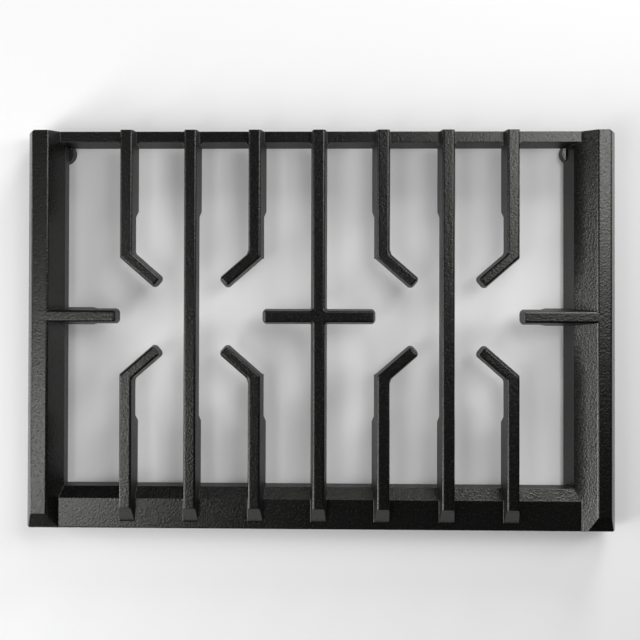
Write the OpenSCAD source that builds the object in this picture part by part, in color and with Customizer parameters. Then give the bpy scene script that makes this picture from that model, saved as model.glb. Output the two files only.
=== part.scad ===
// Cast-iron cooktop grate: two bevelled end frames, a wide outer rim, a thin rail on the
// other side, seven bars of which four are broken into bent fingers, and four feet.
// X runs along the grate, Y from the rim to the rail, Z up. The origin is on the ground,
// under the middle bar.

/* [Overall] */
// Length over the two end frames, at cooking level
grate_w = 485; // [440:1:560]
// How far the middle of the end frames lies beyond the middle bar, towards +X
frame_shift = 0.8; // [0:0.1:4]
// Depth from the front edge of the rim to the back face of the rail
grate_d = 336; // [300:1:400]
// Height of the cooking level above the ground
grate_h = 40; // [36:1:52]
// Thickness of the hollow-cast walls of frames and rim
wall = 4; // [3.5:0.5:5]
// How far the walls of frames and rim stop above the ground
wall_gap = 6; // [3:0.5:8]
// Rounding of the upright outer corners
corner_r = 3; // [1:0.2:4]

/* [Bars] */
// Distance between the centres of neighbouring bars
bar_pitch = 54; // [48:1:60]
// Width of a bar at cooking level, before its edges are rounded
bar_w = 10; // [7:0.5:12]
// Draft of the bar sides, in degrees
bar_draft = 6.5; // [2:0.5:7.5]
// Draft of the sides of the inner fingers that face the middle bar, in degrees
flare_draft = 10; // [8:0.5:12]
// Draft of the sides of the inner fingers that face the burner, in degrees
burner_draft = 3.5; // [2:0.5:7]
// Rounding of the upper edges of bars, fingers and bands
edge_r = 1.8; // [0.8:0.1:2.4]
// Depth of a bar round the burners
web_low = 14; // [10:0.5:18]
// Depth of a bar near the rail and the rim
web_high = 22.5; // [18:0.5:26]
// Depth of the middle bar, which is the same all along
web_middle = 16; // [16:0.5:20]
// Length over which the depth changes
web_step = 5; // [3:0.5:10]
// Distance from the burner line to where the deep webs start
web_reach = 84; // [70:1:100]

/* [Fingers] */
// How far the burner line lies behind the middle of the grate
burner_y = 11.5; // [0:0.5:20]
// Distance from the burner line to the bend of a finger
bend_reach = 51.9; // [44:0.1:60]
// Angle between a bar and its bent tip, in degrees
bend_angle = 49; // [35:1:60]
// Fillet radius inside a bend, at cooking level
bend_r = 7; // [4:0.5:10]
// Width of a bent tip at cooking level, before its edges are rounded
tip_w = 8.6; // [7.8:0.2:9.6]
// Length of the bent tip on its upper face
tip_len = 35; // [25:0.5:45]
// Rounding of the upright corners of the tips
tip_r = 2.6; // [1:0.1:3.5]
// Slope of the end faces of the fingers, in degrees
tip_slope = 8; // [4:1:12]
// Width of the fingers on the burner line
side_finger_w = 9.6; // [8:0.2:12]
// Distance from the middle to the ends of the side fingers, on the upper face
side_finger_reach = 170.5; // [160:0.5:180]
// Reach of the arms of the middle cross, on the upper face
cross_reach = 46; // [36:0.5:50]
// Fillet radius in the corners of the middle cross, at cooking level
cross_r = 4; // [2:0.5:6]
// Length of the deep root of a side finger, inside its frame
side_root = 24; // [14:1:30]

/* [End frames] */
// Draft width of the outer walls of the frames, above the level of the rim
side_lean = 5; // [2:0.2:6]
// Width of the flat band of the left frame
left_band = 13.6; // [12:0.1:20]
// Width of the bevel of the left frame, seen from above
left_bevel = 11.1; // [8:0.1:14]
// Draft width of the inner wall of the left frame
left_lean = 0.3; // [0.3:0.1:3]
// Width of the flat band of the right frame
right_band = 11.1; // [10:0.1:18]
// Width of the bevel of the right frame, seen from above
right_bevel = 16.8; // [12:0.1:20]
// Draft width of the inner wall of the right frame
right_lean = 6.4; // [2:0.1:9]
// Depth of the bevels below cooking level
bevel_drop = 19; // [15:0.5:22]
// Rounding of the ridge between band and bevel
ridge_r = 2.4; // [1:0.2:4]
// Slope of the front facets of the frames, in degrees
frame_facet = 33; // [20:1:40]
// Length of the front facets, seen from above
frame_facet_len = 13.5; // [8:0.5:18]
// Draft of the front walls of the frames above the level of the rim, in degrees
front_draft = 13; // [6:1:18]

/* [Rim and rail] */
// Depth of the rim and the rail below cooking level
rim_drop = 13; // [10:0.5:15]
// Width of the flat top of the rim
rim_flat = 25.2; // [20:0.1:30]
// Width of the bevel inside the rim, seen from above
rim_bevel = 9.6; // [6:0.1:12]
// Draft width of the inner wall of the rim
rim_lean = 1.2; // [0.5:0.1:3]
// Rounding of the front edge of the rim
rim_r = 0.8; // [0.4:0.1:2]
// Width of the top of the rail
rail_w = 9; // [7:0.5:12]
// Draft of the front face of the rail, in degrees
rail_draft = 10; // [4:1:14]
// Height of the underside of the rail above the ground
rail_gap = 8; // [6:0.5:12]
// Distance from the front edge to where the bar tops end
bar_nose = 19; // [15:0.5:24]
// Fillet radius between the bars and the rail
rail_r = 5; // [1.5:0.5:6]
// Ledge of the rim that stays in front of the bars
rim_ledge = 6; // [3:0.5:9]

/* [Feet] */
// Diameter of a foot on the ground
foot_d = 18.4; // [14:0.2:22]
// Diameter of a foot where it meets the frame
foot_top_d = 16.6; // [12:0.2:20]
// Distance from the left end of the grate to the centres of the left feet
left_foot_inset = 26.4; // [22:0.2:30]
// Distance from the right end of the grate to the centres of the right feet
right_foot_inset = 33; // [30:0.2:36]
// Distance from the rail face and the rim edge to the centre of a foot
foot_inset_y = 16.4; // [14:0.2:24]

/* [Hidden] */
$fn = 48;

half_w = grate_w / 2;
half_d = grate_d / 2;
// distance from the middle bar to the outer edges of the two bands
left_x = half_w - frame_shift;
right_x = half_w + frame_shift;
// and to the ends of the grate
left_end = left_x + side_lean;
right_end = right_x + side_lean;
rim_top = grate_h - rim_drop;
bevel_foot = grate_h - bevel_drop;
front = -half_d;
back = half_d;
// reach of shapes that are cut away to size
far = 700;
// straight steps in each rounded edge
arc_steps = 5;
// angle between the outer walls of the frames and the vertical
side_angle = atan2(side_lean, rim_drop);
// angle at which a rounded corner or a fillet meets its walls
meet_angle = 20;
// the same angle for the fillet inside a bend
bend_meet = 10;

// Points along an arc round a centre, from angle a0 to angle a1.
function arc(centre, radius, a0, a1) = [
  for (i = [0:arc_steps])
    let (a = a0 + (a1 - a0) * i / arc_steps)
      centre + radius * [cos(a), sin(a)]
];

// Half the width of the flat upper face of a bar, on a side with the given draft.
function flat_half(width, draft) = width / 2 + edge_r * tan(draft) - edge_r / cos(draft);

// Outline of a bar across its length, its upper face on the x axis.
module bar_section(width, depth, left_draft = bar_draft, right_draft = bar_draft) {
  right = flat_half(width, right_draft);
  left = flat_half(width, left_draft);
  polygon(concat(
    arc([right, -edge_r], edge_r, right_draft, 90),
    arc([-left, -edge_r], edge_r, 90, 180 - left_draft),
    [
      [-width / 2 - depth * tan(left_draft), -depth],
      [width / 2 + depth * tan(right_draft), -depth],
    ]
  ));
}

// Carries an outline drawn in x and z along Y.
module along_y(y0, y1) {
  translate([0, y1, 0])
    rotate([90, 0, 0])
      linear_extrude(y1 - y0)
        children();
}

// Carries an outline drawn in y and z along X.
module along_x(x0, x1) {
  translate([x0, 0, 0])
    rotate([90, 0, 90])
      linear_extrude(x1 - x0)
        children();
}

// Half of space on the rear side (s = 1) or the front side (s = -1) of the x axis.
module half_space(s) {
  translate([-far / 2, s > 0 ? 0 : -far, -far / 2])
    cube([far, far, far]);
}

// Side view of a whole bar from the rim to the rail, with its depth at the ends and in the
// middle, and a sloped nose that comes down to the top of the rim.
module bar_profile(ends, middle) {
  deep_z = grate_h - ends;
  low_z = grate_h - middle;
  y_back = burner_y + web_reach;
  y_front = burner_y - web_reach - web_step;
  nose_y = front + bar_nose;
  inside = front + rim_flat + rim_bevel - wall / 2;
  steps = [
    [y_front, deep_z],
    [y_front + web_step, low_z],
    [y_back, low_z],
    [y_back + web_step, deep_z],
  ];
  polygon(concat(
    [
      [back, deep_z],
      [back, grate_h],
      [nose_y, grate_h],
      [front + rim_ledge, rim_top],
      [front + rim_ledge, rim_top - wall / 2],
      [front + rim_flat, rim_top - wall / 2],
      [inside, bevel_foot - wall / 2],
      [inside, deep_z],
    ],
    ends > middle ? steps : []
  ));
}

module bar(ends = web_high, middle = web_low, inner = false) {
  intersection() {
    translate([0, 0, grate_h])
      along_y(front, back)
        bar_section(
          bar_w,
          ends,
          inner ? flare_draft : bar_draft,
          inner ? burner_draft : bar_draft
        );
    along_x(-bar_w, bar_w)
      bar_profile(ends, middle);
  }
}

// What the free end of a stick keeps when its two upright corners are rounded. The upper
// face of the stick lies at z = 0.
module tip_plan(width, length, root) {
  c = tip_r * cos(meet_angle);
  x = width / 2 - c;
  y = c - length;
  deep = web_low + 1;
  slope = tan(bar_draft);
  translate([-width, y, -deep])
    cube([2 * width, root + 1 - y, deep + 1]);
  translate([-x, y - width, -deep])
    cube([2 * x, 2 * width, deep + 1]);
  for (s = [-1, 1])
    translate([s * x, y, -deep])
      cylinder(h = deep + 1, r1 = tip_r + deep * slope, r2 = tip_r - slope);
}

// A straight stick of the shallow section that runs from y = root along -Y and ends in a
// sloped, rounded face. Its upper face is at cooking level.
module stick(width, length, root = bar_w) {
  mid = length - edge_r;
  end = mid + edge_r / cos(tip_slope) + (web_low - edge_r) * tan(tip_slope);
  translate([0, 0, grate_h])
    intersection() {
      along_y(-end - edge_r, root)
        bar_section(width, web_low);
      along_x(-width, width)
        polygon(concat(
          [[root, -web_low], [root, 0]],
          arc([-mid, -edge_r], edge_r, 90, 180 - tip_slope),
          [[-end, -web_low]]
        ));
      tip_plan(width, length, root);
    }
}

// Fillet inside the bend of a finger whose bar runs along +Y and whose tip bends to +X.
module bend_fill() {
  y = bar_w / 2 * tan(bend_angle / 2) - (bar_w - tip_w) / sin(bend_angle);
  translate([bar_w / 2, y, grate_h])
    rotate([0, 0, bend_angle - 90])
      top_fill(bend_r, web_low, 180 - bend_angle, bend_meet);
}

// The rear half of a broken bar, with its tip bent towards +X. The outer side of the tip
// runs on from the side of the bar.
module finger(inner) {
  translate([0, burner_y + bend_reach, 0]) {
    intersection() {
      translate([0, -burner_y - bend_reach, 0])
        bar(inner = inner);
      rotate([0, 0, bend_angle / 2])
        half_space(1);
    }
    intersection() {
      rotate([0, 0, bend_angle])
        translate([(tip_w - bar_w) / 2, 0, 0])
          stick(tip_w, tip_len);
      rotate([0, 0, bend_angle / 2])
        half_space(-1);
    }
    bend_fill();
  }
}

// The front half of a broken bar, with its tip bent towards +X.
module front_finger(inner) {
  translate([0, burner_y - bend_reach, 0]) {
    intersection() {
      translate([0, bend_reach - burner_y, 0])
        bar(inner = inner);
      rotate([0, 0, -bend_angle / 2])
        half_space(-1);
    }
    intersection() {
      rotate([0, 0, 180 - bend_angle])
        translate([(bar_w - tip_w) / 2, 0, 0])
          stick(tip_w, tip_len);
      rotate([0, 0, -bend_angle / 2])
        half_space(1);
    }
    mirror([0, 1, 0])
      bend_fill();
  }
}

// Fillet between two upright walls, one along +x and one at the given angle to it, with its
// upper end at z = 0. It meets both walls at a slight angle, and it has the draft of the bars.
module corner_fill(radius, depth, angle = 90, meet = meet_angle) {
  root = 2 * edge_r;
  c = radius * cos(meet);
  run = c / tan(angle / 2);
  slope = tan(bar_draft);
  difference() {
    translate([0, 0, -depth])
      linear_extrude(depth)
        polygon([
          [0, -root],
          [run, -root],
          [run, c],
          run * [cos(angle), sin(angle)] + root * [-sin(angle), cos(angle)],
          root * [-sin(angle), cos(angle)],
        ]);
    translate([run, c, -depth - 1])
      cylinder(h = depth + 2, r1 = radius - (depth + 1) * slope, r2 = radius + slope);
  }
}

// The same fillet at cooking level, where the edge is rounded as on the bars.
module top_fill(radius, depth, angle = 90, meet = meet_angle) {
  c = radius * cos(meet);
  difference() {
    corner_fill(radius, depth, angle, meet);
    translate([c / tan(angle / 2), c, 0])
      rotate_extrude()
        difference() {
          translate([0, -edge_r])
            square([radius + edge_r, 2 * edge_r]);
          translate([radius + edge_r, -edge_r])
            circle(edge_r);
        }
  }
}

// The left burner place: a through bar over its middle and two pairs of bent fingers. The
// inner pair, next to the middle bar, has sides with a draft of their own.
module burner_bars() {
  bar();
  for (s = [0, 1])
    mirror([s, 0, 0])
      translate([-bar_pitch, 0, 0]) {
        finger(s > 0);
        front_finger(s > 0);
      }
}

// The middle bar with its two arms.
module middle_cross() {
  bar(web_middle, web_middle);
  for (a = [-90, 90])
    translate([0, burner_y, 0])
      rotate([0, 0, a])
        stick(side_finger_w, cross_reach);
  for (s = [0, 1], t = [0, 1])
    translate([0, burner_y, grate_h])
      mirror([s, 0, 0])
        mirror([0, t, 0])
          translate([bar_w / 2, side_finger_w / 2, 0])
            top_fill(cross_r, web_low);
}

// Fillets on both sides of each bar where it meets the rail.
module rail_fills() {
  for (n = [-3:3], s = [0, 1])
    translate([n * bar_pitch, back - rail_w, rim_top])
      mirror([s, 0, 0])
        mirror([0, 1, 0])
          translate([bar_w / 2 + rim_drop * tan(bar_draft), 0, 0])
            corner_fill(rail_r, web_high - rim_drop);
}

// A finger on the burner line that comes out of an end frame, given by the distance from
// the middle bar to the ridge of the frame; its root is deeper.
module side_finger(ridge_x, bevel) {
  root_x = ridge_x - bevel;
  deep = web_high;
  translate([ridge_x, burner_y, 0])
    rotate([0, 0, -90])
      stick(side_finger_w, ridge_x - side_finger_reach, wall / 2);
  intersection() {
    translate([0, burner_y, grate_h])
      rotate([0, 0, 90])
        along_y(-root_x - wall / 2, -root_x + side_root + web_step)
          bar_section(side_finger_w, deep);
    translate([0, burner_y + side_finger_w, 0])
      rotate([90, 0, 0])
        linear_extrude(2 * side_finger_w)
          polygon([
            [root_x + wall / 2, grate_h - deep],
            [root_x + wall / 2, grate_h - web_low + edge_r],
            [root_x - side_root - web_step, grate_h - web_low + edge_r],
            [root_x - side_root - web_step, grate_h - web_low],
            [root_x - side_root, grate_h - deep],
          ]);
  }
}

// Outline of an end frame, with the upper end of its outer wall on the z axis and the grate
// towards +x. The outer wall is upright up to the level of the rim and leans in above it.
module frame_outline(band, bevel, lean) {
  slope = atan2(bevel_drop, bevel);
  tangent = ridge_r * tan(slope / 2);
  outer = edge_r * (1 - sin(side_angle)) / cos(side_angle);
  polygon(concat(
    [[-side_lean, wall_gap], [-side_lean, rim_top]],
    arc([outer, grate_h - edge_r], edge_r, 180 - side_angle, 90),
    arc([band - tangent, grate_h - ridge_r], ridge_r, 90, 90 - slope),
    [[band + bevel, bevel_foot], [band + bevel + lean, wall_gap]]
  ));
}

// The hollow inside that outline.
module frame_hollow(band, bevel, lean) {
  slope = atan2(bevel_drop, bevel);
  shift = wall * tan(slope / 2);
  foot_x = band + bevel - wall;
  outer = wall / cos(side_angle);
  polygon([
    [wall - side_lean, 0],
    [wall - side_lean, rim_top - wall * tan(side_angle / 2)],
    [outer - wall * tan(side_angle), grate_h - wall],
    [band - shift, grate_h - wall],
    [foot_x, grate_h - wall - (foot_x - band + shift) * tan(slope)],
    [foot_x, bevel_foot - wall],
    [foot_x + lean, 0],
  ]);
}

// Outline of the rim, with its front wall on the z axis and the grate towards +x.
module rim_outline() {
  polygon(concat(
    [[0, wall_gap]],
    arc([rim_r, rim_top - rim_r], rim_r, 180, 90),
    [
      [rim_flat, rim_top],
      [rim_flat + rim_bevel, bevel_foot],
      [rim_flat + rim_bevel + rim_lean, wall_gap],
    ]
  ));
}

module rim_hollow() {
  slope = atan2(rim_top - bevel_foot, rim_bevel);
  shift = wall * tan(slope / 2);
  foot_x = rim_flat + rim_bevel - wall;
  polygon([
    [wall, 0],
    [wall, rim_top - wall],
    [rim_flat - shift, rim_top - wall],
    [foot_x, rim_top - wall - (foot_x - rim_flat + shift) * tan(slope)],
    [foot_x + rim_lean, 0],
  ]);
}

// Outline of the rail, with its back face on the z axis and the grate towards -x.
module rail_outline() {
  polygon([
    [0, rail_gap],
    [0, rim_top],
    [-rail_w, rim_top],
    [-rail_w - (rim_top - rail_gap) * tan(rail_draft), rail_gap],
  ]);
}

// One end frame, standing at x = 0 with the grate towards +X.
module end_frame(band, bevel, lean) {
  difference() {
    along_y(front, back)
      frame_outline(band, bevel, lean);
    translate([0, front + frame_facet_len, grate_h])
      rotate([frame_facet, 0, 0])
        translate([-far / 2, -far, 0])
          cube([far, far, far]);
    translate([0, front, rim_top])
      rotate([90 - front_draft, 0, 0])
        translate([-far / 2, 0, 0])
          cube([far, far, far]);
  }
}

module ends(s) {
  band = s < 0 ? left_band : right_band;
  bevel = s < 0 ? left_bevel : right_bevel;
  lean = s < 0 ? left_lean : right_lean;
  mirror([s < 0 ? 0 : 1, 0, 0])
    translate([s < 0 ? -left_x : -right_x, 0, 0])
      end_frame(band, bevel, lean);
}

module end_hollow(s) {
  band = s < 0 ? left_band : right_band;
  bevel = s < 0 ? left_bevel : right_bevel;
  lean = s < 0 ? left_lean : right_lean;
  mirror([s < 0 ? 0 : 1, 0, 0])
    translate([s < 0 ? -left_x : -right_x, 0, 0])
      along_y(front + frame_facet_len, back - wall)
        frame_hollow(band, bevel, lean);
}

module shell() {
  difference() {
    union() {
      ends(-1);
      ends(1);
      translate([0, front, 0])
        along_x(left_band - left_x, right_x - right_band)
          rim_outline();
      translate([0, back, 0])
        along_x(left_band - left_x, right_x - right_band)
          rail_outline();
    }
    end_hollow(-1);
    end_hollow(1);
    translate([0, front, 0])
      along_x(wall - left_x, right_x - wall)
        rim_hollow();
    for (s = [0, 1], t = [0, 1])
      mirror([s, 0, 0])
        mirror([0, t, 0])
          translate([s > 0 ? left_end : right_end, half_d, rim_top]) {
            translate([0, 0, -rim_top])
              corner_cut(rim_top);
            rotate([0, -side_angle, 0])
              corner_cut(far);
          }
  }
}

// A foot at the rail end (s = 1) or under the rim (s = -1), where it reaches up to the shell.
module foot(s) {
  top = s > 0 ? rail_gap + wall / 2 : rim_top - wall / 2;
  cylinder(h = top, d1 = foot_d, d2 = foot_top_d);
}

// What rounds off one outer corner that runs up along z, with the grate towards -x and -y.
module corner_cut(height) {
  c = corner_r * cos(meet_angle);
  edge = corner_r * sin(meet_angle / 2) - c;
  linear_extrude(height)
    polygon(concat(
      arc([-c, -c], corner_r, meet_angle / 2, 90 - meet_angle / 2),
      [[edge, 1], [1, 1], [1, edge]]
    ));
}

module grate() {
  color([0.13, 0.13, 0.125]) {
    shell();
    for (s = [0, 1])
      mirror([s, 0, 0])
        translate([-2 * bar_pitch, 0, 0])
          burner_bars();
    for (t = [-1, 1], x = [left_foot_inset - left_end, right_end - right_foot_inset])
      translate([x, t * (half_d - foot_inset_y), 0])
        foot(t);
    rail_fills();
    middle_cross();
    side_finger(right_x - right_band, right_bevel);
    mirror([1, 0, 0])
      side_finger(left_x - left_band, left_bevel);
  }
}

grate();
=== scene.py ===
# Looks for a cast-iron cooktop grate: black enamel on the pebbled skin of the casting
import math
import bpy
from mathutils import Matrix, Vector

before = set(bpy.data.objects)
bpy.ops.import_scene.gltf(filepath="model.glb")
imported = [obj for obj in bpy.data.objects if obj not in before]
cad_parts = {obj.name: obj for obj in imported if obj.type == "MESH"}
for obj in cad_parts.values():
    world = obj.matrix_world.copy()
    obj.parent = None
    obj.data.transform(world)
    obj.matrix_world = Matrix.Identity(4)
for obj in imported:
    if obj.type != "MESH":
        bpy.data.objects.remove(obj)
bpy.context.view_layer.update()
print("stage: casting loaded")


class Value:
    # a float socket that can be used in ordinary sums
    def __init__(self, shader, socket):
        self.shader, self.socket = shader, socket

    def math(self, operation, *parts):
        return self.shader.add("ShaderNodeMath", {"operation": operation}, *parts)

    def __add__(self, other):
        return self.math("ADD", self, other)

    def __sub__(self, other):
        return self.math("SUBTRACT", self, other)

    def __rsub__(self, other):
        return self.math("SUBTRACT", other, self)

    def __mul__(self, other):
        return self.math("MULTIPLY", self, other)

    __radd__ = __add__
    __rmul__ = __mul__


class Shader:
    # a new material and the one way its nodes are added
    def __init__(self, name):
        self.material = bpy.data.materials.new(name)
        self.material.use_nodes = True
        self.tree = self.material.node_tree
        self.tree.nodes.clear()

    def feed(self, socket, part):
        if isinstance(part, Value):
            part = part.socket
        if isinstance(part, bpy.types.NodeSocket):
            self.tree.links.new(part, socket)
        else:
            socket.default_value = part

    def add(self, kind, settings, *parts, out=0, **named):
        node = self.tree.nodes.new(kind)
        for key, setting in settings.items():
            setattr(node, key, setting)
        for slot, part in enumerate(parts):
            self.feed(node.inputs[slot], part)
        for key, part in named.items():
            self.feed(node.inputs[key.replace("_", " ")], part)
        return Value(self, node.outputs[out])

    def objectPlace(self):
        return self.add("ShaderNodeTexCoord", {}, out=3)

    def blend(self, factor, first, second):
        mixed = self.add("ShaderNodeMix", {"data_type": "RGBA"}, out=2)
        for slot, part in ((0, factor), (6, first), (7, second)):   # the factor and two colours
            self.feed(mixed.socket.node.inputs[slot], part)
        return mixed

    def between(self, value, low, high):
        # 0 at low, 1 at high and a smooth step from the one to the other
        return self.add("ShaderNodeMapRange", {"interpolation_type": "SMOOTHSTEP"},
                        value, low, high, 0.0, 1.0)

    def finished(self, surface):
        output = self.tree.nodes.new("ShaderNodeOutputMaterial")
        self.feed(output.inputs["Surface"], surface)
        return self.material


enamel = {
    "dark": (0.0022, 0.0022, 0.0022, 1.0),   # the black in the hollows of the grain
    "light": (0.0045, 0.0045, 0.0043, 1.0),  # worn tops of the grain
    "paintedEdgeHighlight": (0.018, 0.018, 0.017, 1.0),      # painted highlight: a lighter tint on the upper edges standing in for their thin glints
    "gloss": (1.0, 1.0, 0.965, 1.0),         # faint warm tint of the reflections
    "refraction": 1.5,
    "roughness": 0.24,         # on the faces that lie flat
    "wallRoughness": 0.48,     # on upright walls, which no pot rubs smooth
    "roughSpread": 0.22,       # from the tops of the grain to its hollows
    "grain": 0.0018,           # size of the grain, metres
    "grainHeight": 0.00012,
    "speck": 0.0012,           # size of the finest grain, metres
    "speckHeight": 0.00005,
    "wave": 0.012,             # slow waviness of a sand-cast face, metres
    "waveHeight": 0.00006,
    "grainDetail": 1.0,        # finer layers in each noise
    "grainShare": 0.6,         # of the colour; the specks have the rest
    "softEdge": 0.0008,        # radius that rounds the small edges, metres
    "softEdgeSamples": 8,
    "edgeTurn": (0.99, 0.90),  # cosine between face and rounded edge: no painted highlight, full painted highlight
    "edgeRise": (0.2, 0.6),    # how much an edge looks up: no painted highlight, full painted highlight
    "wallRise": (0.40, 0.15),  # how much a face looks up: smooth, as rough as a wall
    "paintedHighlightLeast": 0.4,          # strength of the painted edge highlight between the specks
    "paintedHighlightSpread": 0.8,         # and how much more the specks have
}


def enamelMaterial():
    make = Shader("blackEnamel")
    place = make.objectPlace()
    facing = make.add("ShaderNodeTexCoord", {}, out=1)
    upward = make.add("ShaderNodeSeparateXYZ", {}, facing, out=2)

    def noise(size):
        return make.add("ShaderNodeTexNoise", {}, Vector=place, Scale=1.0 / size,
                        Detail=enamel["grainDetail"])

    grain, specks, wave = (noise(enamel[size]) for size in ("grain", "speck", "wave"))
    normal = make.add("ShaderNodeBevel", {"samples": enamel["softEdgeSamples"]},
                      Radius=enamel["softEdge"])
    turned = make.add("ShaderNodeVectorMath", {"operation": "DOT_PRODUCT"}, normal, facing, out=1)
    edge = make.between(turned, *enamel["edgeTurn"]) * make.between(upward, *enamel["edgeRise"])
    wall = make.between(upward, *enamel["wallRise"])
    # the noise lies about 0.5, so the grain adds as much roughness as it takes away
    rough = (enamel["roughness"] + wall * (enamel["wallRoughness"] - enamel["roughness"])
             + (0.5 - grain) * enamel["roughSpread"])
    pebbles = grain * enamel["grainShare"] + specks * (1.0 - enamel["grainShare"])
    tint = make.blend(pebbles, enamel["dark"], enamel["light"])
    # painted highlight: upward-looking edges get a lighter tint that stands in for the glints
    # along them
    paintedHighlightMask = edge * (enamel["paintedHighlightLeast"] + specks * enamel["paintedHighlightSpread"])
    tint = make.blend(paintedHighlightMask, tint, enamel["paintedEdgeHighlight"])
    for height, reach in ((wave, "waveHeight"), (grain, "grainHeight"), (specks, "speckHeight")):
        normal = make.add("ShaderNodeBump", {}, Distance=enamel[reach], Height=height,
                          Normal=normal)
    surface = make.add("ShaderNodeBsdfPrincipled", {}, Base_Color=tint, Roughness=rough,
                       IOR=enamel["refraction"], Specular_Tint=enamel["gloss"], Normal=normal)
    return make.finished(surface)


blackEnamel = enamelMaterial()
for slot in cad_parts["grate"].material_slots:
    slot.material = blackEnamel
print("stage: enamel on the casting")


ground = {
    "colour": (0.86, 0.86, 0.86, 1.0),
    "size": 40.0,             # metres
    "shade": 0.96,            # how much of its own shading the seen floor keeps
    "glow": (0.085, 0.085, 0.085, 1.0),   # the even light that is added to it at the grate
    "farGlow": (0.75, 0.75, 0.75, 1.0),   # and where the lamps don't reach
    "farReach": (0.6, 1.7),   # from where to where the one turns into the other, metres
}


def floorMaterial():
    # rays from the camera and from glossy faces see a little glow; all others see plain paper
    make = Shader("paleFloor")
    seenColour = tuple(part * ground["shade"] for part in ground["colour"][:3]) + (1.0,)
    paper = make.add("ShaderNodeBsdfDiffuse", {}, Color=ground["colour"])
    seenPaper = make.add("ShaderNodeBsdfDiffuse", {}, Color=seenColour)
    away = make.add("ShaderNodeVectorMath", {"operation": "LENGTH"}, make.objectPlace(), out=1)
    far = make.between(away, *ground["farReach"])
    glow = make.add("ShaderNodeEmission", {},
                    Color=make.blend(far, ground["glow"], ground["farGlow"]))
    seen = make.add("ShaderNodeAddShader", {}, seenPaper, glow)
    isCamera = make.add("ShaderNodeLightPath", {}, out=0)
    isGlossy = make.add("ShaderNodeLightPath", {}, out=3)
    return make.finished(make.add("ShaderNodeMixShader", {}, isCamera + isGlossy, paper, seen))


def floorPiece():
    half = ground["size"] / 2
    mesh = bpy.data.meshes.new("floor")
    mesh.from_pydata([(-half, -half, 0), (half, -half, 0), (half, half, 0), (-half, half, 0)],
                     [], [(0, 1, 2, 3)])
    mesh.materials.append(floorMaterial())
    floor = bpy.data.objects.new("floor", mesh)
    bpy.context.collection.objects.link(floor)


light = {
    "sky": 0.085,      # strength of a new world's own dark grey: next to no light
    "distance": 1.5,   # of each lamp from the middle of the grate, metres
    "lamps": {         # degrees above the floor, degrees round from the right, size, watts
        "highRight": (69, 22, 0.32, 1.3),
        "highBackRight": (69, 45, 0.32, 0.7),
        "highBackLeft": (69, 158, 0.32, 0.2),
        "highFrontLeft": (69, 202, 0.32, 1.7),
        "upperRight": (59, 36, 0.40, 2.8),
        "upperBack": (59, 72, 0.40, 1.5),
        "upperFrontLeft": (59, 216, 0.40, 1.6),
        "middleBack": (47, 90, 0.45, 0.9),
        "middleRight": (34, 22, 0.50, 4.0),
        "middleLeft": (34, 180, 0.50, 0.6),
        "middleFrontLeft": (34, 202, 0.50, 2.8),
        "lowRight": (20, 22, 0.50, 0.3),
        "lowBack": (20, 68, 0.50, 10.4),
        "lowLeft": (20, 180, 0.50, 6.3),
        "lowFrontLeft": (20, 202, 0.50, 9.7),
        "nearFloorFront": (8, 240, 0.40, 0.7),
    },
}


def lamp(name, above, around, size, watts):
    above, around = math.radians(above), math.radians(around)
    flat = math.cos(above)
    place = Vector((math.cos(around) * flat, math.sin(around) * flat,
                    math.sin(above))) * light["distance"]
    data = bpy.data.lights.new(name, "AREA")
    data.shape = "SQUARE"
    data.size = size
    data.energy = watts
    softLamp = bpy.data.objects.new(name, data)
    bpy.context.collection.objects.link(softLamp)
    softLamp.location = place
    softLamp.rotation_euler = (-place).to_track_quat("-Z", "Y").to_euler()


def sky():
    world = bpy.data.worlds.new("studio")
    bpy.context.scene.world = world
    world.use_nodes = True
    world.node_tree.nodes["Background"].inputs["Strength"].default_value = light["sky"]


floorPiece()
sky()
for name, settings in light["lamps"].items():
    lamp(name, *settings)

camera = {
    "place": (0.00986, 0.02139, 1.14131),
    "aim": (-0.02213, 0.03657, 0.040),
    "roll": -0.00287,      # radians
    "lens": 74.173,        # millimetres, on Blender's own sensor of 36
    "shift": (0.04326, -0.05228),
    "clip": (0.05, 20.0),  # metres
}


def cameraObject():
    data = bpy.data.cameras.new("camera")
    data.lens = camera["lens"]
    data.shift_x, data.shift_y = camera["shift"]
    data.clip_start, data.clip_end = camera["clip"]
    view = bpy.data.objects.new("camera", data)
    bpy.context.collection.objects.link(view)
    place = Vector(camera["place"])
    back = (place - Vector(camera["aim"])).normalized()
    up = Vector((math.sin(camera["roll"]), math.cos(camera["roll"]), 0.0))
    right = up.cross(back).normalized()
    turn = Matrix((right, back.cross(right), back)).transposed()
    view.matrix_world = Matrix.Translation(place) @ turn.to_4x4()
    bpy.context.scene.camera = view


cameraObject()
bpy.context.scene.view_settings.view_transform = "Standard"
print("stage: floor, light and camera set")
